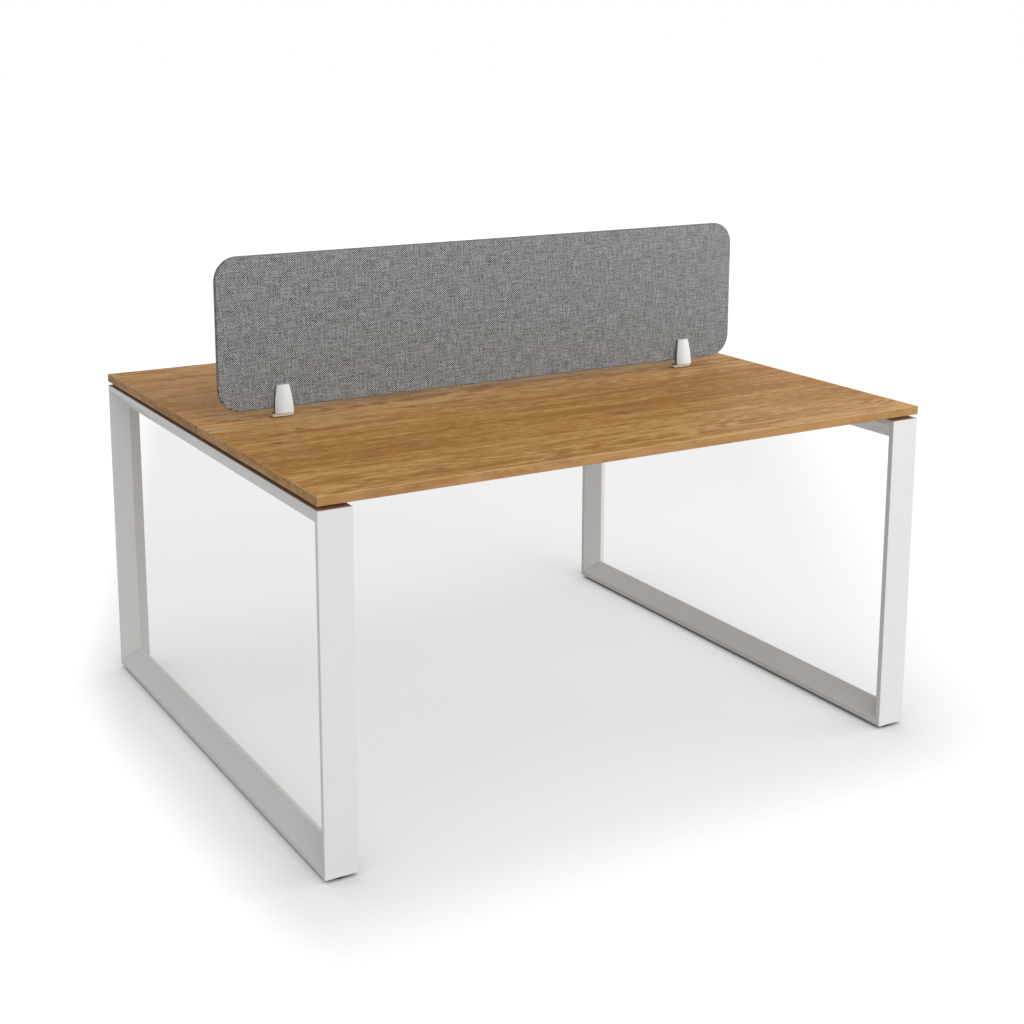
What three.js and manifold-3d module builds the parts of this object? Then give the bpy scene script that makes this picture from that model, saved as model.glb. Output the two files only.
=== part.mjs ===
// Benching desk for two: two facing tops on a pair of hoop frames, with a fabric screen on the seam.
// Millimetres, +Z up, origin on the floor under the middle of the desk, front user at -Y.

import * as THREE from 'three';
import { mergeVertices } from 'three/addons/utils/BufferGeometryUtils.js';
import Module from 'manifold-3d';

const wasm = await Module();
wasm.setup();

// Overall sizes
const LENGTH = 1400;
const DEPTH = 1200;
const HEIGHT = 725;

// Tops: faced board with a thick edge band all round
const TOP_THICKNESS = 18;
const SEAM_GAP = 6;
const BAND_THICKNESS = 2;
const BAND_ARRIS = 1.2;

// Hoop frames: a five-sided tube, flat on the outside of the hoop and ridged on the inside
const SHADOW_GAP = 8;
const TUBE_WIDTH = 68;
const TUBE_SIDE = 11;
const TUBE_RIDGE = 47.8;
const TUBE_WALL = 2;
const TUBE_EDGE_RADIUS = 1.2;
const TUBE_SHOULDER_RADIUS = 2;
const TUBE_RIDGE_RADIUS = 3;
const MITRE_GAP = 0.2;

// Levelling feet
const FLOOR_GAP = 7.5;
const FOOT_INSET = 22;
const PAD_RADIUS = 15;
const PAD_HEIGHT = 6.2;
const STUD_RADIUS = 4;
const STUD_LENGTH = 30;
const STUD_FLANGE_RADIUS = 8;
const STUD_FLANGE_BASE = 4.2;
const STUD_FLANGE_TOP = 7.2;
const NUT_RADIUS = 8;
const NUT_HEIGHT = 8;

// Beams that tie the hoops together under each top, and the brackets that hook them on
const BEAM_OFFSET = 300;
const BEAM_HEIGHT = 60;
const BEAM_WIDTH = 30;
const BEAM_WALL = 1.5;
const BEAM_CORNER = 3;
const PLATE_THICKNESS = 4;
const BRACKET_WIDTH = 80;
const BRACKET_REACH = 58;
const BRACKET_BEND = 5;

// Spacers that float the tops above the frames
const SPACER_RADIUS = 14;
const SPACER_HOLE = 3;
const RAIL_SPACER_OFFSETS = [-555, -50, 50, 555];
const BEAM_SPACER_OFFSET = 330;

// Screen: fabric pulled over a rounded board
const SCREEN_WIDTH = 1304;
const SCREEN_THICKNESS = 12;
const SCREEN_BOTTOM = 19;
const SCREEN_TOP = 340;
const SCREEN_CORNER = 50;
const SCREEN_SOFT_EDGE = 2.5;
const COVER_THICKNESS = 1;
const COVER_SLOT = 6;

// Screen clamps: a tapered jaw in front and a flat one behind, bolted through the seam onto a foot plate
const CLAMP_OFFSET = 513;
const JAW_BASE_WIDTH = 41;
const JAW_TIP_WIDTH = 27.5;
const JAW_BASE_DEPTH = 17.5;
const JAW_TIP_DEPTH = 10.5;
const JAW_BASE_BOW = 3;
const JAW_TIP_BOW = 2;
const JAW_TOP = 68;
const JAW_RINGS = 7;
const REAR_JAW_DEPTH = 10;
const REAR_JAW_BOW = 1;
const TONGUE_WIDTH = 16;
const TONGUE_HEIGHT = 4.4;
const TONGUE_REACH = 5.5;
const FOOT_PLATE_WIDTH = 45;
const FOOT_PLATE_FRONT = 9.5;
const FOOT_PLATE_REAR = 8;
const FOOT_PLATE_BOW = 2.5;
const FOOT_PLATE_UNDERCUT = 1.5;
const FOOT_PLATE_THICKNESS = 6;
const FOOT_PLATE_STEP = 2;
const FOOT_PLATE_STEP_INSET = 2.5;
const BOLT_RADIUS = 2.5;
const BOLT_REACH = 18;
const BOLT_HEAD_RADIUS = 7;
const BOLT_HEAD_HEIGHT = 5;
const UNDER_PLATE_LENGTH = 80;
const UNDER_PLATE_WIDTH = 50;
const UNDER_PLATE_CORNER = 6;

const FIT = 0.3;
const ROUND_SIDES = 20;
const ARC_STEPS = 3;

// Levels and places worked out from the sizes above
const topUnderside = HEIGHT - TOP_THICKNESS;
const frameTop = topUnderside - SHADOW_GAP;
const frameBottom = FLOOR_GAP;
const frameHeight = frameTop - frameBottom;
const hoopCentre = LENGTH / 2 - TUBE_WIDTH / 2;
const hoopInside = LENGTH / 2 - TUBE_WIDTH;
const topDepth = (DEPTH - SEAM_GAP) / 2;
const topCentre = (DEPTH + SEAM_GAP) / 4;
const beamEnd = hoopInside - FIT - PLATE_THICKNESS;
const footPlateHeight = FOOT_PLATE_UNDERCUT + FOOT_PLATE_THICKNESS + FOOT_PLATE_STEP;
const jawBase = HEIGHT + footPlateHeight;
const screenBase = HEIGHT + SCREEN_BOTTOM;
const screenFace = SCREEN_THICKNESS / 2 + FIT;

// Finishes

function finish(color, roughness, metalness) {
  return new THREE.MeshStandardMaterial({ color, roughness, metalness });
}

const oakFacing = () => finish(0xa97d4b, 0.55, 0);
const oakBand = () => finish(0xb08a5c, 0.5, 0);
const silverCoat = () => finish(0xd2d2d0, 0.45, 0.2);
const blackCoat = () => finish(0x2b2b2b, 0.55, 0.2);
const zincSteel = () => finish(0xa7abad, 0.35, 0.9);
const blackPlastic = () => finish(0x1d1d1d, 0.6, 0);
const greyFabric = () => finish(0x7f7f7f, 0.95, 0);
const rawBoard = () => finish(0xb59a72, 0.85, 0);
const castAluminium = () => finish(0xd8d6d2, 0.4, 0.3);

// Geometry helpers

function toSolid(geometry) {
  const bare = geometry.clone();
  bare.deleteAttribute('normal');
  bare.deleteAttribute('uv');
  const welded = mergeVertices(bare, 1e-4);
  const vertProperties = new Float32Array(welded.getAttribute('position').array);
  const triVerts = new Uint32Array(welded.getIndex().array);
  return new wasm.Manifold(new wasm.Mesh({ numProp: 3, vertProperties, triVerts }));
}

function toGeometry(solid) {
  const { vertProperties, triVerts } = solid.getMesh();
  const indexed = new THREE.BufferGeometry();
  indexed.setAttribute('position', new THREE.BufferAttribute(vertProperties, 3));
  indexed.setIndex(new THREE.BufferAttribute(triVerts, 1));
  const faceted = indexed.toNonIndexed();
  faceted.computeVertexNormals();
  return faceted;
}

function cut(geometry, ...tools) {
  return toGeometry(tools.reduce((rest, tool) => rest.subtract(toSolid(tool)), toSolid(geometry)));
}

function join(geometry, other) {
  return toGeometry(toSolid(geometry).add(toSolid(other)));
}

function box(low, high) {
  const size = high.map((value, axis) => value - low[axis]);
  const middle = high.map((value, axis) => (value + low[axis]) / 2);
  return new THREE.BoxGeometry(...size).translate(...middle);
}

function upright(radius, bottom, top, sides = ROUND_SIDES) {
  const geometry = new THREE.CylinderGeometry(radius, radius, top - bottom, sides);
  return geometry.rotateX(Math.PI / 2).translate(0, 0, (top + bottom) / 2);
}

function revolve(profile) {
  const points = profile.map(([radius, height]) => new THREE.Vector2(radius, height));
  return new THREE.LatheGeometry(points, ROUND_SIDES).rotateX(Math.PI / 2);
}

function extrude(shape, depth, options = {}) {
  const plain = { depth, bevelEnabled: false, curveSegments: ARC_STEPS };
  return new THREE.ExtrudeGeometry(shape, { ...plain, ...options });
}

// A closed outline whose corners [x, y, radius] are rounded by true arcs, for convex outlines.
function roundedOutline(corners, path = new THREE.Shape()) {
  const points = corners.map(([x, y]) => new THREE.Vector2(x, y));
  corners.forEach(([, , radius], i) => {
    const corner = points[i];
    const before = points.at(i - 1).clone().sub(corner).normalize();
    const after = points[(i + 1) % points.length].clone().sub(corner).normalize();
    const half = Math.acos(before.dot(after)) / 2;
    const toCentre = before.clone().add(after).normalize().multiplyScalar(radius / Math.sin(half));
    const centre = corner.clone().add(toCentre);
    const start = before.clone().multiplyScalar(radius / Math.tan(half)).add(corner).sub(centre);
    const end = after.clone().multiplyScalar(radius / Math.tan(half)).add(corner).sub(centre);
    path.absarc(centre.x, centre.y, radius, start.angle(), end.angle(), start.cross(end) < 0);
  });
  path.closePath();
  return path;
}

function roundedRectangle(width, height, radius, path) {
  const [x, y] = [width / 2, height / 2];
  return roundedOutline([[-x, -y, radius], [x, -y, radius], [x, y, radius], [-x, y, radius]], path);
}

function place(parent, name, geometry, material, x = 0, y = 0, z = 0) {
  const mesh = new THREE.Mesh(geometry, material);
  mesh.name = name;
  mesh.position.set(x, y, z);
  parent.add(mesh);
  return mesh;
}

// Tops

function bandProfile() {
  const shape = new THREE.Shape();
  const flat = BAND_THICKNESS - BAND_ARRIS;
  shape.moveTo(0, 0);
  shape.lineTo(flat, 0);
  shape.absarc(flat, BAND_ARRIS, BAND_ARRIS, -Math.PI / 2, 0, false);
  shape.absarc(flat, TOP_THICKNESS - BAND_ARRIS, BAND_ARRIS, 0, Math.PI / 2, false);
  shape.lineTo(0, TOP_THICKNESS);
  shape.closePath();
  return shape;
}

function edgeBand(top, name, length, reach, angle) {
  const geometry = extrude(bandProfile(), length).translate(reach - BAND_THICKNESS, 0, -length / 2);
  const band = place(top, name, geometry, oakBand());
  band.rotation.set(Math.PI / 2, 0, angle, 'ZYX');
}

function deskTop(side, facing) {
  const top = new THREE.Group();
  const [x, y] = [LENGTH / 2 - BAND_THICKNESS, topDepth / 2 - BAND_THICKNESS];
  place(top, `${side}_top_board`, box([-x, -y, 0], [x, y, TOP_THICKNESS]), oakFacing());
  edgeBand(top, `${side}_top_band_user`, LENGTH, topDepth / 2, facing * Math.PI / 2);
  edgeBand(top, `${side}_top_band_seam`, LENGTH, topDepth / 2, -facing * Math.PI / 2);
  edgeBand(top, `${side}_top_band_left`, 2 * y, LENGTH / 2, Math.PI);
  edgeBand(top, `${side}_top_band_right`, 2 * y, LENGTH / 2, 0);
  top.position.set(0, facing * topCentre, topUnderside);
  return top;
}

// Hoop frames

const TUBE_CORNERS = [
  [-TUBE_WIDTH / 2, 0, TUBE_EDGE_RADIUS],
  [TUBE_WIDTH / 2, 0, TUBE_EDGE_RADIUS],
  [TUBE_WIDTH / 2, TUBE_SIDE, TUBE_SHOULDER_RADIUS],
  [0, TUBE_RIDGE, TUBE_RIDGE_RADIUS],
  [-TUBE_WIDTH / 2, TUBE_SIDE, TUBE_SHOULDER_RADIUS],
];

// The tube's bore: the outer corners moved in by the wall, square to both of their sides.
function boreCorners() {
  return TUBE_CORNERS.map(([x, y, radius], i) => {
    const corner = new THREE.Vector2(x, y);
    const [bx, by] = TUBE_CORNERS.at(i - 1);
    const [ax, ay] = TUBE_CORNERS[(i + 1) % TUBE_CORNERS.length];
    const before = new THREE.Vector2(bx, by).sub(corner).normalize();
    const after = new THREE.Vector2(ax, ay).sub(corner).normalize();
    const half = Math.acos(before.dot(after)) / 2;
    const inward = before.add(after).normalize().multiplyScalar(TUBE_WALL / Math.sin(half));
    return [x + inward.x, y + inward.y, radius / 2];
  });
}

// One side of the hoop, cut at 45 degrees at both ends so that four of them close the frame.
function mitredTube(length) {
  const section = roundedOutline(TUBE_CORNERS);
  section.holes.push(roundedOutline(boreCorners(), new THREE.Path()));
  const geometry = extrude(section, length);
  const position = geometry.getAttribute('position');
  for (let i = 0; i < position.count; i += 1) {
    const inset = position.getY(i) + MITRE_GAP;
    position.setZ(i, position.getZ(i) < length / 2 ? inset : length - inset);
  }
  geometry.computeVertexNormals();
  return geometry;
}

function bottomRail() {
  const holes = [FOOT_INSET, DEPTH - FOOT_INSET].map((along) => {
    const hole = upright(STUD_RADIUS + FIT * 2, -TUBE_WALL, TUBE_WALL * 2);
    return hole.rotateX(-Math.PI / 2).translate(0, 0, along);
  });
  return cut(mitredTube(DEPTH), ...holes);
}

function hoop(side, facing) {
  const frame = new THREE.Group();
  const sides = [
    ['bottom_rail', bottomRail(), Math.PI / 2, DEPTH / 2, frameBottom],
    ['front_leg', mitredTube(frameHeight), 0, -DEPTH / 2, frameBottom],
    ['top_rail', mitredTube(DEPTH), -Math.PI / 2, -DEPTH / 2, frameTop],
    ['rear_leg', mitredTube(frameHeight), Math.PI, DEPTH / 2, frameTop],
  ];
  for (const [name, geometry, turn, y, z] of sides) {
    const tube = place(frame, `${side}_frame_${name}`, geometry, silverCoat(), 0, y, z);
    tube.rotation.x = turn;
  }
  frame.position.x = facing * hoopCentre;
  return frame;
}

// Levelling feet

function footPad() {
  const socket = STUD_FLANGE_RADIUS + FIT;
  return revolve([
    [0, 0],
    [PAD_RADIUS - 1, 0],
    [PAD_RADIUS, 1],
    [PAD_RADIUS, 3],
    [PAD_RADIUS - 2.5, PAD_HEIGHT],
    [socket, PAD_HEIGHT],
    [socket, STUD_FLANGE_BASE],
    [0, STUD_FLANGE_BASE],
  ]);
}

function footStud() {
  const tip = STUD_FLANGE_TOP + STUD_LENGTH;
  return revolve([
    [0, STUD_FLANGE_BASE],
    [STUD_FLANGE_RADIUS, STUD_FLANGE_BASE],
    [STUD_FLANGE_RADIUS, STUD_FLANGE_TOP],
    [STUD_RADIUS, STUD_FLANGE_TOP],
    [STUD_RADIUS, tip - 1],
    [STUD_RADIUS - 1, tip],
    [0, tip],
  ]);
}

function weldNut() {
  const bottom = frameBottom + TUBE_WALL;
  const hex = upright(NUT_RADIUS, bottom, bottom + NUT_HEIGHT, 6);
  return cut(hex, upright(STUD_RADIUS + FIT, bottom - 1, bottom + NUT_HEIGHT + 1));
}

function levellingFoot(corner, x, y) {
  const foot = new THREE.Group();
  place(foot, `foot_pad_${corner}`, footPad(), blackPlastic());
  place(foot, `foot_stud_${corner}`, footStud(), zincSteel());
  place(foot, `foot_nut_${corner}`, weldNut(), zincSteel());
  foot.position.set(x, y, 0);
  return foot;
}

// Beams and their brackets

function beamTube() {
  const section = roundedRectangle(BEAM_HEIGHT, BEAM_WIDTH, BEAM_CORNER);
  const [height, width] = [BEAM_HEIGHT - 2 * BEAM_WALL, BEAM_WIDTH - 2 * BEAM_WALL];
  section.holes.push(roundedRectangle(height, width, BEAM_CORNER / 2, new THREE.Path()));
  return extrude(section, 2 * beamEnd).translate(0, 0, -beamEnd).rotateY(Math.PI / 2);
}

// A plate bent square: one leg lies on the hoop's top rail, the other closes the beam's end.
function beamBracket() {
  const web = beamEnd + PLATE_THICKNESS;
  const lip = hoopInside + BRACKET_REACH;
  const bendX = beamEnd + BRACKET_BEND;
  const shape = new THREE.Shape();
  shape.moveTo(beamEnd, -BEAM_HEIGHT);
  shape.lineTo(web, -BEAM_HEIGHT);
  shape.lineTo(web, 0);
  shape.lineTo(lip, 0);
  shape.lineTo(lip, PLATE_THICKNESS);
  shape.lineTo(bendX, PLATE_THICKNESS);
  shape.absarc(bendX, PLATE_THICKNESS - BRACKET_BEND, BRACKET_BEND, Math.PI / 2, Math.PI, false);
  shape.closePath();
  const plate = extrude(shape, BRACKET_WIDTH).translate(0, 0, -BRACKET_WIDTH / 2).rotateX(Math.PI / 2);
  const holes = [-1, 1].map((way) => {
    const hole = upright(BOLT_RADIUS + 1.5, -PLATE_THICKNESS, PLATE_THICKNESS * 2);
    return hole.translate(hoopCentre, way * BRACKET_WIDTH / 4, 0);
  });
  return cut(plate, ...holes);
}

function beam(side, facing) {
  const group = new THREE.Group();
  place(group, `${side}_beam`, beamTube(), blackCoat(), 0, 0, -BEAM_HEIGHT / 2);
  for (const [end, turn] of [['left', Math.PI], ['right', 0]]) {
    const bracket = place(group, `${side}_beam_bracket_${end}`, beamBracket(), blackCoat());
    bracket.rotation.z = turn;
  }
  group.position.set(0, facing * BEAM_OFFSET, frameTop);
  return group;
}

// Spacers

function spacer() {
  return revolve([
    [SPACER_HOLE, 0],
    [SPACER_RADIUS, 0],
    [SPACER_RADIUS, SHADOW_GAP],
    [SPACER_HOLE, SHADOW_GAP],
    [SPACER_HOLE, 0],
  ]);
}

function spacers() {
  const group = new THREE.Group();
  for (const [end, x] of [['left', -hoopCentre], ['right', hoopCentre]]) {
    RAIL_SPACER_OFFSETS.forEach((y, i) => {
      place(group, `${end}_rail_spacer_${i + 1}`, spacer(), blackPlastic(), x, y, frameTop);
    });
  }
  for (const [side, y] of [['front', -BEAM_OFFSET], ['rear', BEAM_OFFSET]]) {
    for (const [end, x] of [['left', -BEAM_SPACER_OFFSET], ['right', BEAM_SPACER_OFFSET]]) {
      place(group, `${side}_beam_spacer_${end}`, spacer(), blackPlastic(), x, y, frameTop);
    }
  }
  return group;
}

// Screen

// A rounded board standing on edge in the XZ plane, with softened front and rear edges.
function standingPanel(margin, softEdge) {
  const width = SCREEN_WIDTH - 2 * margin;
  const height = SCREEN_TOP - SCREEN_BOTTOM - 2 * margin;
  const thickness = SCREEN_THICKNESS - 2 * margin;
  const corner = SCREEN_CORNER - margin - softEdge;
  const outline = roundedRectangle(width - 2 * softEdge, height - 2 * softEdge, corner);
  const options = {
    bevelEnabled: softEdge > 0,
    bevelSize: softEdge,
    bevelThickness: softEdge,
    bevelSegments: 2,
    curveSegments: 4 * ARC_STEPS,
  };
  const panel = extrude(outline, thickness - 2 * softEdge, options);
  return panel.translate(0, 0, softEdge - thickness / 2).rotateX(Math.PI / 2);
}

// The cover's turned-in edges leave a slot along the underside, where the fabric is stapled to the board.
function screenCover() {
  const half = (SCREEN_TOP - SCREEN_BOTTOM) / 2;
  const slot = box(
    [SCREEN_CORNER - SCREEN_WIDTH / 2, -COVER_SLOT / 2, -half - 1],
    [SCREEN_WIDTH / 2 - SCREEN_CORNER, COVER_SLOT / 2, -half + COVER_THICKNESS + 1],
  );
  return cut(standingPanel(0, SCREEN_SOFT_EDGE), standingPanel(COVER_THICKNESS, 0), slot);
}

function screen() {
  const group = new THREE.Group();
  place(group, 'screen_core', standingPanel(COVER_THICKNESS + FIT, 0), rawBoard());
  place(group, 'screen_cover', screenCover(), greyFabric());
  group.position.z = HEIGHT + (SCREEN_TOP + SCREEN_BOTTOM) / 2;
  return group;
}

// Screen clamps

// Closed skin through a stack of rings with equal point counts, capped flat at both ends.
function loft(rings) {
  const count = rings[0].length;
  const points = rings.flat();
  const index = [];
  for (let ring = 0; ring < rings.length - 1; ring += 1) {
    for (let i = 0; i < count; i += 1) {
      const a = ring * count + i;
      const b = ring * count + (i + 1) % count;
      index.push(a, b, b + count, a, b + count, a + count);
    }
  }
  const last = points.length - count;
  for (let i = 1; i < count - 1; i += 1) {
    index.push(0, i + 1, i, last, last + i, last + i + 1);
  }
  const geometry = new THREE.BufferGeometry().setFromPoints(points);
  geometry.setIndex(index);
  return geometry;
}

// One level of a jaw: flat against the screen, with a face bowed outward between square shoulders.
function jawRing(level, height, depth, bow) {
  const width = THREE.MathUtils.lerp(JAW_BASE_WIDTH, JAW_TIP_WIDTH, level ** 2);
  const ring = [
    new THREE.Vector3(width / 2, -screenFace, height),
    new THREE.Vector3(-width / 2, -screenFace, height),
  ];
  const steps = 2 * ARC_STEPS;
  for (let i = 0; i <= steps; i += 1) {
    const across = 2 * i / steps - 1;
    ring.push(new THREE.Vector3(across * width / 2, -depth - bow * (1 - across ** 2), height));
  }
  return ring;
}

// Jaw that tapers upward between two depths and two bows, from its base level to the tip.
function taperedJaw(base, depths, bows) {
  const rings = [];
  for (let i = 0; i < JAW_RINGS; i += 1) {
    const level = i / (JAW_RINGS - 1);
    const [height, depth, bow] = [[base, HEIGHT + JAW_TOP], depths, bows].map(
      ([low, high]) => THREE.MathUtils.lerp(low, high, level),
    );
    rings.push(jawRing(level, height, depth, bow));
  }
  return loft(rings);
}

// Narrow tongue that reaches under the screen from one jaw to take the bolt.
function jawTongue(depth, base, top) {
  return box([-TONGUE_WIDTH / 2, -depth, base], [TONGUE_WIDTH / 2, TONGUE_REACH, top]);
}

function boltPassage() {
  return upright(BOLT_RADIUS + FIT, HEIGHT - 1, screenBase + 1);
}

function frontJaw() {
  const jaw = taperedJaw(jawBase, [JAW_BASE_DEPTH, JAW_TIP_DEPTH], [JAW_BASE_BOW, JAW_TIP_BOW]);
  const tongue = jawTongue(screenFace + 1, jawBase, jawBase + TONGUE_HEIGHT);
  return cut(join(jaw, tongue), boltPassage());
}

// Rear jaw: stays behind the screen, apart from a tongue that lies on the tongue of the front jaw.
function rearJaw() {
  const jaw = taperedJaw(screenBase, [REAR_JAW_DEPTH, REAR_JAW_DEPTH], [REAR_JAW_BOW, REAR_JAW_BOW]);
  const base = jawBase + TONGUE_HEIGHT + FIT / 2;
  const tongue = jawTongue(REAR_JAW_DEPTH, base, screenBase - FIT);
  const side = TONGUE_WIDTH / 2;
  const neck = box([-side, -REAR_JAW_DEPTH, base], [side, -screenFace, screenBase + 1]);
  return cut(join(join(jaw, neck), tongue), boltPassage());
}

// Square sides and back, with the front edge bowed outward.
function footOutline(inset) {
  const x = FOOT_PLATE_WIDTH / 2 - inset;
  const front = inset - FOOT_PLATE_FRONT;
  const rear = FOOT_PLATE_REAR - inset;
  const shape = new THREE.Shape();
  shape.moveTo(-x, front);
  shape.quadraticCurveTo(0, front - 2 * FOOT_PLATE_BOW, x, front);
  shape.lineTo(x, rear);
  shape.lineTo(-x, rear);
  shape.closePath();
  return shape;
}

// Foot plate: a bowed tread on a smaller core, which leaves a dark line above and below the tread.
function footPlate() {
  const curve = { curveSegments: 3 * ARC_STEPS };
  const tread = extrude(footOutline(0), FOOT_PLATE_THICKNESS, curve).translate(0, 0, FOOT_PLATE_UNDERCUT);
  const core = extrude(footOutline(FOOT_PLATE_STEP_INSET), footPlateHeight, curve);
  return cut(join(core, tread).translate(0, 0, HEIGHT), boltPassage());
}

function underPlate() {
  const outline = roundedRectangle(UNDER_PLATE_LENGTH, UNDER_PLATE_WIDTH, UNDER_PLATE_CORNER);
  const plate = extrude(outline, PLATE_THICKNESS);
  const hole = upright(BOLT_RADIUS + FIT, -1, PLATE_THICKNESS + 1);
  return cut(plate, hole).translate(0, 0, topUnderside - PLATE_THICKNESS);
}

function clampBolt() {
  const seat = topUnderside - PLATE_THICKNESS;
  const head = upright(BOLT_HEAD_RADIUS, seat - BOLT_HEAD_HEIGHT, seat, 6);
  const shank = upright(BOLT_RADIUS, seat - BOLT_HEAD_HEIGHT / 2, HEIGHT + BOLT_REACH, ROUND_SIDES / 2);
  return join(head, shank);
}

function screenClamp(side, x) {
  const clamp = new THREE.Group();
  place(clamp, `${side}_clamp_front_jaw`, frontJaw(), castAluminium());
  place(clamp, `${side}_clamp_rear_jaw`, rearJaw(), castAluminium()).rotation.z = Math.PI;
  place(clamp, `${side}_clamp_foot_plate`, footPlate(), castAluminium());
  place(clamp, `${side}_clamp_under_plate`, underPlate(), zincSteel());
  place(clamp, `${side}_clamp_bolt`, clampBolt(), zincSteel());
  clamp.position.x = x;
  return clamp;
}

// The whole desk

const desk = new THREE.Group();
desk.add(deskTop('front', -1), deskTop('rear', 1));
desk.add(hoop('left', -1), hoop('right', 1));
desk.add(beam('front', -1), beam('rear', 1));
desk.add(spacers());
desk.add(screen());
desk.add(screenClamp('left', -CLAMP_OFFSET), screenClamp('right', CLAMP_OFFSET));
for (const [end, x] of [['left', -hoopCentre], ['right', hoopCentre]]) {
  for (const [row, y] of [['front', FOOT_INSET - DEPTH / 2], ['rear', DEPTH / 2 - FOOT_INSET]]) {
    desk.add(levellingFoot(`${row}_${end}`, x, y));
  }
}

export default desk;
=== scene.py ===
"""Benching desk for two: finishes, fabric screen, small fasteners and a plain studio, laid out as an add-on."""

import math

import bmesh
import bpy
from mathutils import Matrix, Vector


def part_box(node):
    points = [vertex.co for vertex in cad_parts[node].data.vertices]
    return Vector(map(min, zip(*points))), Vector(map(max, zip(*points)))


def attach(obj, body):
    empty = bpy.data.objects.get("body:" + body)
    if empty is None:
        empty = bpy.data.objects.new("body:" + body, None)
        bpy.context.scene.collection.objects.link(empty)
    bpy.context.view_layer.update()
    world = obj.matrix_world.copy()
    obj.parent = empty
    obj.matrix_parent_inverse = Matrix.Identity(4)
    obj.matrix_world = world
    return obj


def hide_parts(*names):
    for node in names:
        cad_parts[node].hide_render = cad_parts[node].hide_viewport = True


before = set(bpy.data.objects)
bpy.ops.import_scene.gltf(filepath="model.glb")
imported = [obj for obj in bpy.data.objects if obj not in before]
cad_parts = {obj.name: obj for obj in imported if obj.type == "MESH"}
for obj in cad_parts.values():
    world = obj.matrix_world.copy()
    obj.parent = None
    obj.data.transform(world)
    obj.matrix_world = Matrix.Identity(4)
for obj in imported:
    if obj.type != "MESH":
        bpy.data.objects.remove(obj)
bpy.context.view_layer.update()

bl_info = {
    "name": "Benching desk",
    "version": (1, 0, 0),
    "blender": (4, 5, 0),
    "location": "View3D > Sidebar > Desk",
    "description": "Dresses a two-place benching desk with its finishes, screen fabric, fasteners and studio",
    "category": "Object",
}

IMAGE_WIDTH = 1024
SENSOR_WIDTH = 36.0
MM = 0.001

# Corners this close in metres count as level, and faces that meet at less than this angle look smooth
LEVEL = 1e-5
SMOOTH_ANGLE = math.radians(35)

SIDES = ("front", "rear")
ENDS = ("left", "right")


# Colours

def linear(hex_code):
    """Linear colour of an sRGB hex value."""
    channels = [int(hex_code[i:i + 2], 16) / 255 for i in (1, 3, 5)]
    return tuple(c / 12.92 if c <= 0.04045 else ((c + 0.055) / 1.055) ** 2.4 for c in channels)


def opaque(colour):
    return (*colour[:3], 1.0)


# Settings

def colour_setting(name, description, hex_code):
    return bpy.props.FloatVectorProperty(
        name=name, description=description, default=linear(hex_code), subtype="COLOR", size=3, min=0, max=1
    )


def length_setting(name, description, millimetres):
    return bpy.props.FloatProperty(
        name=name, description=description, default=millimetres * MM, subtype="DISTANCE", unit="LENGTH", min=0
    )


class DeskFinishes(bpy.types.PropertyGroup):
    """Colours of the desk's finishes."""

    oak_dark: colour_setting("Oak, dark grain", "Darkest streaks of the oak print", "#956731")
    oak_mid: colour_setting("Oak, middle", "Main tone of the oak print", "#a87a42")
    oak_light: colour_setting("Oak, light grain", "Palest streaks of the oak print", "#bb915a")
    oak_pore: colour_setting("Oak, pores and knots", "Pores and knots of the oak print", "#66421e")
    # Band edges: a painted highlight on the oak band's upward rounded edges
    oak_edge_highlight: colour_setting("Oak, band edges", "Painted highlight on the oak band's edges", "#d6b184")
    oak_haze: colour_setting("Oak, band haze", "Veil of the oak band's lacquer", "#a9825a")
    coat: colour_setting("Frame coat", "Powder coat of the hoop frames", "#dfdfde")
    # Painted shade and a painted brown reflection of the tops, on the rails' upper face
    coat_upper_painted_shade: colour_setting("Frame, upper face", "Painted shade and brown reflection on the rails' upper face under the tops", "#ac907a")
    beam_coat: colour_setting("Beam coat", "Powder coat of the beams and brackets", "#2c2c2d")
    yarn_dark: colour_setting("Dark yarn", "Darkest yarn of the screen fabric", "#323536")
    yarn_mid: colour_setting("Middle yarn", "Main yarn of the screen fabric", "#717476")
    yarn_light: colour_setting("Light yarn", "Palest yarn of the screen fabric", "#c0c4c5")
    aluminium: colour_setting("Clamp face", "Blasted face of the cast aluminium clamps", "#e8ecec")
    # Clamp sides: a real metal mirror whose darker colour is partly painted shade
    jaw_side_shade: colour_setting("Clamp sides", "Linished sides of the clamps, darkened as painted shade", "#a8a6a2")
    # Clamp foot: its warm tint is a painted reflection of the oak tops
    foot_plate: colour_setting("Clamp foot", "Brushed foot plates of the clamps, tinted as a painted reflection of the oak", "#e6dcd5")
    zinc: colour_setting("Zinc plate", "Plated steel of studs, nuts, plates and screws", "#b9bdbf")
    pad: colour_setting("Foot plastic", "Moulded plastic of feet and spacers", "#1c1c1d")
    board: colour_setting("Fibreboard", "Bare board inside the screen", "#a98e69")
    floor: colour_setting("Floor", "Studio floor as it is seen", "#ffffff")
    floor_bounce: colour_setting("Floor bounce", "Tone of the light that the floor throws back", "#cfcfcf")


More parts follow.
